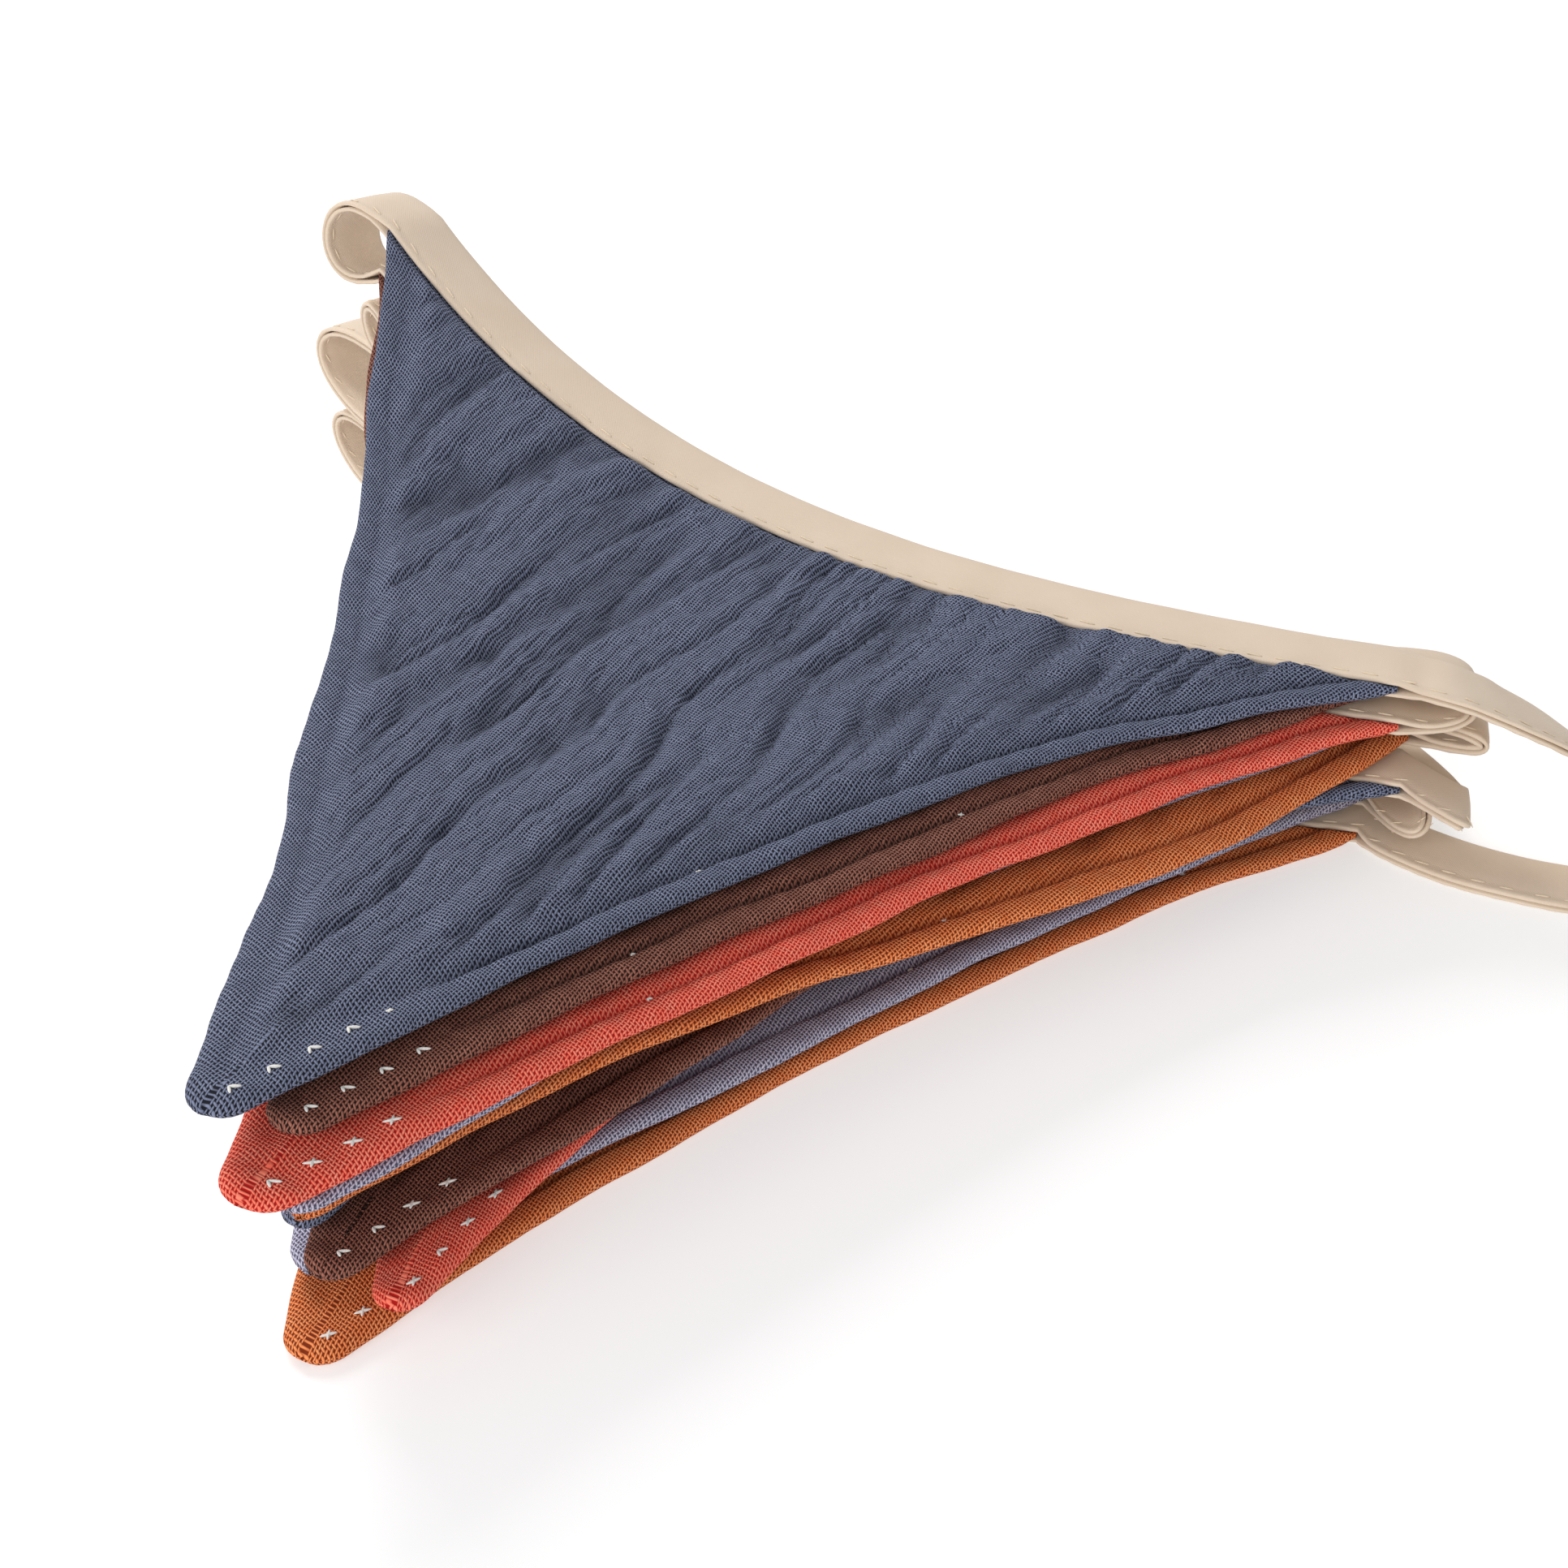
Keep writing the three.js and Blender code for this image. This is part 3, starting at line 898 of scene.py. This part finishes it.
class ShaderBench:
    """A new material's nodes, with short ways to add and join them."""

    def __init__(self, name: str) -> None:
        """Start a material with a Principled shader and its output."""
        self.material = bpy.data.materials.new(name)
        self.material.use_nodes = True
        self.nodes = self.material.node_tree.nodes
        self.links = self.material.node_tree.links
        self.shader = self.nodes["Principled BSDF"]

    def join(self, source: bpy.types.NodeSocket, target: bpy.types.NodeSocket) -> None:
        """Link one socket to another."""
        self.links.new(source, target)

    def feed(self, target: bpy.types.NodeSocket, value: "bpy.types.NodeSocket | float | tuple") -> None:
        """Give an input a link or a plain value."""
        if isinstance(value, bpy.types.NodeSocket):
            self.join(value, target)
        else:
            target.default_value = value

    def sum(self, operation: str, *values: "bpy.types.NodeSocket | float") -> bpy.types.NodeSocket:
        """Add a Math node and return its result."""
        node = self.nodes.new("ShaderNodeMath")
        node.operation = operation
        for target, value in zip(node.inputs, values):
            self.feed(target, value)
        return node.outputs[0]

    def vector(self, x: object, y: object, z: object = 0.0) -> bpy.types.NodeSocket:
        """Put three numbers together as a vector."""
        node = self.nodes.new("ShaderNodeCombineXYZ")
        for target, value in zip(node.inputs, (x, y, z)):
            self.feed(target, value)
        return node.outputs[0]

    def noise(self, vector: bpy.types.NodeSocket, scale: float, detail: float = 2.0) -> bpy.types.NodeSocket:
        """Add a Noise Texture and return its value, from 0 to 1."""
        node = self.nodes.new("ShaderNodeTexNoise")
        self.join(vector, node.inputs["Vector"])
        node.inputs["Scale"].default_value = scale
        node.inputs["Detail"].default_value = detail
        return node.outputs["Fac"]

    def clamp(self, value: bpy.types.NodeSocket) -> bpy.types.NodeSocket:
        """Hold a value between 0 and 1."""
        node = self.nodes.new("ShaderNodeClamp")
        self.join(value, node.inputs[0])
        return node.outputs[0]

    def shift(self, value: bpy.types.NodeSocket, low: float, high: float) -> bpy.types.NodeSocket:
        """Map a value from 0 to 1 onto low to high."""
        return self.sum("MULTIPLY_ADD", value, high - low, low)

    def mix(self, share: object, first: object, second: object) -> bpy.types.NodeSocket:
        """Mix two colours by a share and return the result."""
        node = self.nodes.new("ShaderNodeMix")
        node.data_type = "RGBA"
        self.feed(node.inputs[0], share)
        self.feed(node.inputs[6], first)
        self.feed(node.inputs[7], second)
        return node.outputs[2]

    def cloth_axes(self) -> tuple[bpy.types.NodeSocket, bpy.types.NodeSocket, bpy.types.NodeSocket]:
        """Return the cloth's own two coordinates, in metres, and how deep in a crease it lies, which sets
        the painted shade.
        """
        source = self.nodes.new("ShaderNodeAttribute")
        source.attribute_name = CLOTH_MAP
        parts = self.nodes.new("ShaderNodeSeparateXYZ")
        self.join(source.outputs["Vector"], parts.inputs[0])
        return parts.outputs[0], parts.outputs[1], parts.outputs[2]

    def settle(self, **values: "float | tuple") -> None:
        """Set inputs of the shader, each named with _ for a space."""
        for name, value in values.items():
            self.shader.inputs[name.replace("_", " ")].default_value = value

    def bump(self, height: bpy.types.NodeSocket, depth: float, strength: float) -> None:
        """Raise the surface by a height from 0 to 1."""
        node = self.nodes.new("ShaderNodeBump")
        node.inputs["Distance"].default_value = depth
        node.inputs["Strength"].default_value = strength
        self.join(height, node.inputs["Height"])
        self.join(node.outputs[0], self.shader.inputs["Normal"])


def paint(red: int, green: int, blue: int) -> tuple[float, float, float, float]:
    """Turn a display colour of 0 to 255 into the linear one that a shader takes."""
    parts = [value / 255 for value in (red, green, blue)]
    return (*(part / 12.92 if part <= 0.04045 else ((part + 0.055) / 1.055) ** 2.4 for part in parts), 1.0)


THREAD_ROUNDING = 1.8
THREAD_HEIGHT = 0.66
THREAD_CROSSING = 0.34
DIAGONAL = 0.7071


def weave(bench: ShaderBench, warp: object, weft: object) -> bpy.types.NodeSocket:
    """Work out the height of a plain weave.

    Args:
        bench: The material's nodes.
        warp: Distance across the warp threads, in threads.
        weft: Distance across the weft threads, in threads.

    Returns:
        The height from 0, in a gap between the threads, to 1, on top of one.
    """
    first = bench.sum("SINE", bench.sum("MULTIPLY", warp, math.pi))
    second = bench.sum("SINE", bench.sum("MULTIPLY", weft, math.pi))
    crossing = bench.sum("MULTIPLY", bench.sum("MULTIPLY", first, second), THREAD_CROSSING)
    warp_round = bench.sum("POWER", bench.sum("ABSOLUTE", first), THREAD_ROUNDING)
    weft_round = bench.sum("POWER", bench.sum("ABSOLUTE", second), THREAD_ROUNDING)
    warp_height = bench.sum("MULTIPLY", warp_round, bench.sum("ADD", THREAD_HEIGHT, crossing))
    weft_height = bench.sum("MULTIPLY", weft_round, bench.sum("SUBTRACT", THREAD_HEIGHT, crossing))
    return bench.sum("MAXIMUM", warp_height, weft_height)


@dataclass(frozen=True)
class GauzeFinish:
    """Washed cotton gauze: an open plain weave with uneven threads, whose gaps are painted dark as shade
    from the layer below, with painted shade in its creases and along its stitch furrow.
    """

    colour: GauzeColour
    # gap: painted shade, the colour of the shaded lower layer seen between the threads, also used to darken
    # creases.
    gap: tuple[int, int, int]
    thread: tuple[int, int, int]
    bright: tuple[int, int, int]
    warp_pitch: float = 0.00062
    weft_pitch: float = 0.00068
    skew: float = 0.36
    relief: float = 0.00022

    def make(self) -> bpy.types.Material:
        """Build the material."""
        bench = ShaderBench(f"{self.colour.value}_gauze")
        across, along, painted_shade_depth = bench.cloth_axes()
        place = bench.vector(across, along)
        bend = bench.shift(bench.noise(place, 130, 1.0), -1.1, 1.1)
        sway = bench.shift(bench.noise(place, 170, 1.0), -1.1, 1.1)
        warp = bench.sum("MULTIPLY_ADD", across, 1 / self.warp_pitch, bend)
        skewed = bench.sum("MULTIPLY_ADD", across, -self.skew, along)
        weft = bench.sum("MULTIPLY_ADD", skewed, 1 / self.weft_pitch, sway)
        height = weave(bench, warp, weft)
        slubs = bench.noise(bench.vector(across, bench.sum("MULTIPLY", along, 0.3)), 1100, 1.0)
        picks = bench.noise(bench.vector(bench.sum("MULTIPLY", across, 0.3), along), 1000, 1.0)
        uneven = bench.shift(bench.sum("MULTIPLY", bench.sum("ADD", slubs, picks), 0.5), -0.3, 1.3)
        thread = bench.mix(uneven, paint(*self.thread), paint(*self.bright))
        # Painted shade: between the threads the colour falls to the gap colour.
        covered = bench.clamp(bench.sum("MULTIPLY_ADD", height, 2.9, -0.95))
        weave_with_gap_shade = bench.mix(covered, paint(*self.gap), thread)
        # Painted shade: creases and the stitch furrow are darkened towards the gap colour.
        painted_shade_share = bench.sum("MULTIPLY", painted_shade_depth, 0.75)
        bench.join(bench.mix(painted_shade_share, weave_with_gap_shade, paint(*self.gap)), bench.shader.inputs["Base Color"])
        fuzz = bench.noise(place, 2600, 2.0)
        bench.bump(bench.sum("MULTIPLY_ADD", fuzz, 0.25, height), self.relief, 0.85)
        bench.settle(Roughness=0.92, Specular_IOR_Level=0.2, Sheen_Weight=0.06, Sheen_Roughness=0.6)
        bench.settle(Sheen_Tint=paint(*self.bright))
        return bench.material


@dataclass(frozen=True)
class TapeFinish:
    """Smooth, closely woven cotton, pressed, with a little colour drift along the strip."""

    base: tuple[int, int, int] = (220, 202, 182)
    worn: tuple[int, int, int] = (204, 183, 160)
    thread_pitch: float = 0.00032
    relief: float = 0.00005

    def make(self) -> bpy.types.Material:
        """Build the material."""
        bench = ShaderBench("beige_tape")
        across, along, _ = bench.cloth_axes()
        warp = bench.sum("MULTIPLY", bench.sum("ADD", across, along), DIAGONAL / self.thread_pitch)
        weft = bench.sum("MULTIPLY", bench.sum("SUBTRACT", across, along), DIAGONAL / self.thread_pitch)
        height = weave(bench, warp, weft)
        clouds = bench.noise(bench.vector(across, along), 90, 3.0)
        shade = bench.sum("ADD", bench.sum("MULTIPLY", clouds, 0.7), bench.sum("MULTIPLY", height, -0.25))
        tint = bench.mix(bench.sum("ADD", shade, 0.1), paint(*self.base), paint(*self.worn))
        bench.join(tint, bench.shader.inputs["Base Color"])
        creases = bench.noise(bench.vector(across, along), 500, 2.0)
        bench.bump(bench.sum("MULTIPLY_ADD", creases, 0.5, height), self.relief, 0.6)
        bench.settle(Roughness=0.8, Specular_IOR_Level=0.25, Sheen_Weight=0.12, Sheen_Roughness=0.5)
        return bench.material


@dataclass(frozen=True)
class ThreadFinish:
    """Spun sewing thread with a fine twist."""

    name: str
    base: tuple[int, int, int]
    shadow: tuple[int, int, int]

    def make(self) -> bpy.types.Material:
        """Build the material."""
        bench = ShaderBench(self.name)
        source = bench.nodes.new("ShaderNodeTexCoord")
        twist = bench.noise(source.outputs["Object"], 3800, 1.0)
        colour = bench.mix(twist, paint(*self.base), paint(*self.shadow))
        bench.join(colour, bench.shader.inputs["Base Color"])
        bench.bump(twist, 0.00006, 0.7)
        bench.settle(Roughness=0.6, Sheen_Weight=0.2)
        return bench.material


# Per colour: a gap colour of painted shade, a thread colour and a lighter thread tone.
GAUZE_FINISHES = (
    GauzeFinish(GauzeColour.SLATE, (15, 17, 27), (98, 104, 128), (142, 150, 176)),
    GauzeFinish(GauzeColour.BROWN, (26, 9, 6), (124, 70, 57), (178, 120, 102)),
    GauzeFinish(GauzeColour.CORAL, (165, 16, 13), (255, 98, 74), (255, 160, 134)),
    GauzeFinish(GauzeColour.LAVENDER, (74, 70, 92), (172, 169, 192), (212, 209, 228)),
    GauzeFinish(GauzeColour.ORANGE, (118, 40, 8), (238, 120, 56), (255, 170, 112)),
)


@dataclass
class Studio:
    """A pale floor, soft light from the left and the front, and a camera at the photograph's angle."""

    target: Vector = field(default_factory=lambda: Vector((-0.01502, 0.00908, 0.02)))
    azimuth: float = 26.87
    elevation: float = 33.02
    distance: float = 0.42844
    roll: float = 0.58
    field_of_view: float = 32.0
    floor_size: float = 6.0

    def add_floor(self) -> None:
        """Lay the floor."""
        mesh = bmesh.new()
        bmesh.ops.create_grid(mesh, x_segments=1, y_segments=1, size=self.floor_size / 2)
        floor = to_object(mesh, "studio_floor")
        bench = ShaderBench("pale_floor")
        source = bench.nodes.new("ShaderNodeTexCoord")
        cloud = bench.noise(source.outputs["Object"], 4, 2.0)
        pale = bench.mix(cloud, (0.56, 0.56, 0.56, 1), (0.53, 0.53, 0.53, 1))
        bench.join(pale, bench.shader.inputs["Base Color"])
        bench.settle(Emission_Color=(1, 1, 1, 1), Emission_Strength=0.5, Roughness=0.95)
        floor.data.materials.append(bench.material)

    def add_light(self, name: str, place: tuple[float, float, float], size: float, power: float) -> None:
        """Hang one square soft light that faces the pile."""
        data = bpy.data.lights.new(name, "AREA")
        data.size = size
        data.energy = power
        lamp = bpy.data.objects.new(name, data)
        lamp.location = place
        lamp.rotation_euler = (self.target - lamp.location).to_track_quat("-Z", "Y").to_euler()
        bpy.context.scene.collection.objects.link(lamp)

    def add_camera(self) -> None:
        """Set up the camera."""
        turn, tilt = math.radians(self.azimuth), math.radians(self.elevation)
        back = Vector((math.sin(turn) * math.cos(tilt), -math.cos(turn) * math.cos(tilt), math.sin(tilt)))
        level = Vector((0, 0, 1)).cross(back).normalized()
        upright = back.cross(level)
        lean = math.radians(self.roll)
        right = level * math.cos(lean) + upright * math.sin(lean)
        up = upright * math.cos(lean) - level * math.sin(lean)
        data = bpy.data.cameras.new("camera")
        data.sensor_width = 36
        data.lens = 18 / math.tan(math.radians(self.field_of_view) / 2)
        data.clip_start = 0.01
        camera = bpy.data.objects.new("camera", data)
        bpy.context.scene.collection.objects.link(camera)
        turned = Matrix((right, up, back)).transposed().to_4x4()
        camera.matrix_world = Matrix.Translation(self.target + back * self.distance) @ turned
        bpy.context.scene.camera = camera

    def build(self) -> None:
        """Set up the whole studio."""
        self.add_floor()
        self.add_light("key_light", (-0.9, 0.55, 0.95), 0.6, 12.0)
        self.add_light("fill_light", (-0.1, -1.3, 0.6), 1.2, 13.5)
        self.add_camera()
        world = bpy.data.worlds.new("soft_room")
        world.use_nodes = True
        world.node_tree.nodes["Background"].inputs["Color"].default_value = (1, 1, 1, 1)
        world.node_tree.nodes["Background"].inputs["Strength"].default_value = 0.52
        bpy.context.scene.world = world
        bpy.context.scene.view_settings.view_transform = "Standard"


def dress(piece: bpy.types.Object, finish: bpy.types.Material) -> None:
    """Give a piece its finish, its material slot in the record, and the body that it rides on."""
    piece.data.materials.append(finish)
    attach(piece, BODY)


@dataclass
class Bunting:
    """The whole folded bunting."""

    pile: PileForm = field(default_factory=PileForm)
    top_columns: int = 230
    top_rows: int = 165
    under_columns: int = 70
    under_rows: int = 84

    def make_flags(self) -> list[GauzeFlag]:
        """Return the flags from the top down."""
        flags = []
        for index, place in enumerate(FLAG_PLACES):
            top = index == 0
            columns = self.top_columns if top else self.under_columns
            rows = self.top_rows if top else self.under_rows
            height, crowding = (0.0024, 0.0) if top else (0.001, 0.6)
            flags.append(GauzeFlag(index, place, self.pile, columns, rows, height, crowding))
        return flags

    def build(self) -> None:
        """Model every piece and dress it."""
        flags = self.make_flags()
        gauzes = {finish.colour: finish.make() for finish in GAUZE_FINISHES}
        white = ThreadFinish("white_thread", (236, 234, 228), (206, 204, 200)).make()
        for flag in flags:
            piece = flag.build()
            dress(piece, gauzes[flag.place.colour])
            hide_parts(flag.name)
            stitches = Topstitching(flag).build()
            dress(stitches, white)
            LOG.info("%s: %d vertices", piece.name, len(piece.data.vertices))
        tape = BiasTape(flags)
        strip = tape.build()
        dress(strip, TapeFinish().make())
        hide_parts("bias_tape")
        seam = tape.build_stitches()
        dress(seam, ThreadFinish("beige_thread", (232, 216, 192), (206, 186, 160)).make())


def main() -> None:
    """Load the frame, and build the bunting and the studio."""
    logging.basicConfig(level=logging.INFO, format="%(name)s %(message)s")
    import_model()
    Bunting().build()
    Studio().build()


if __name__ == "__main__":
    main()
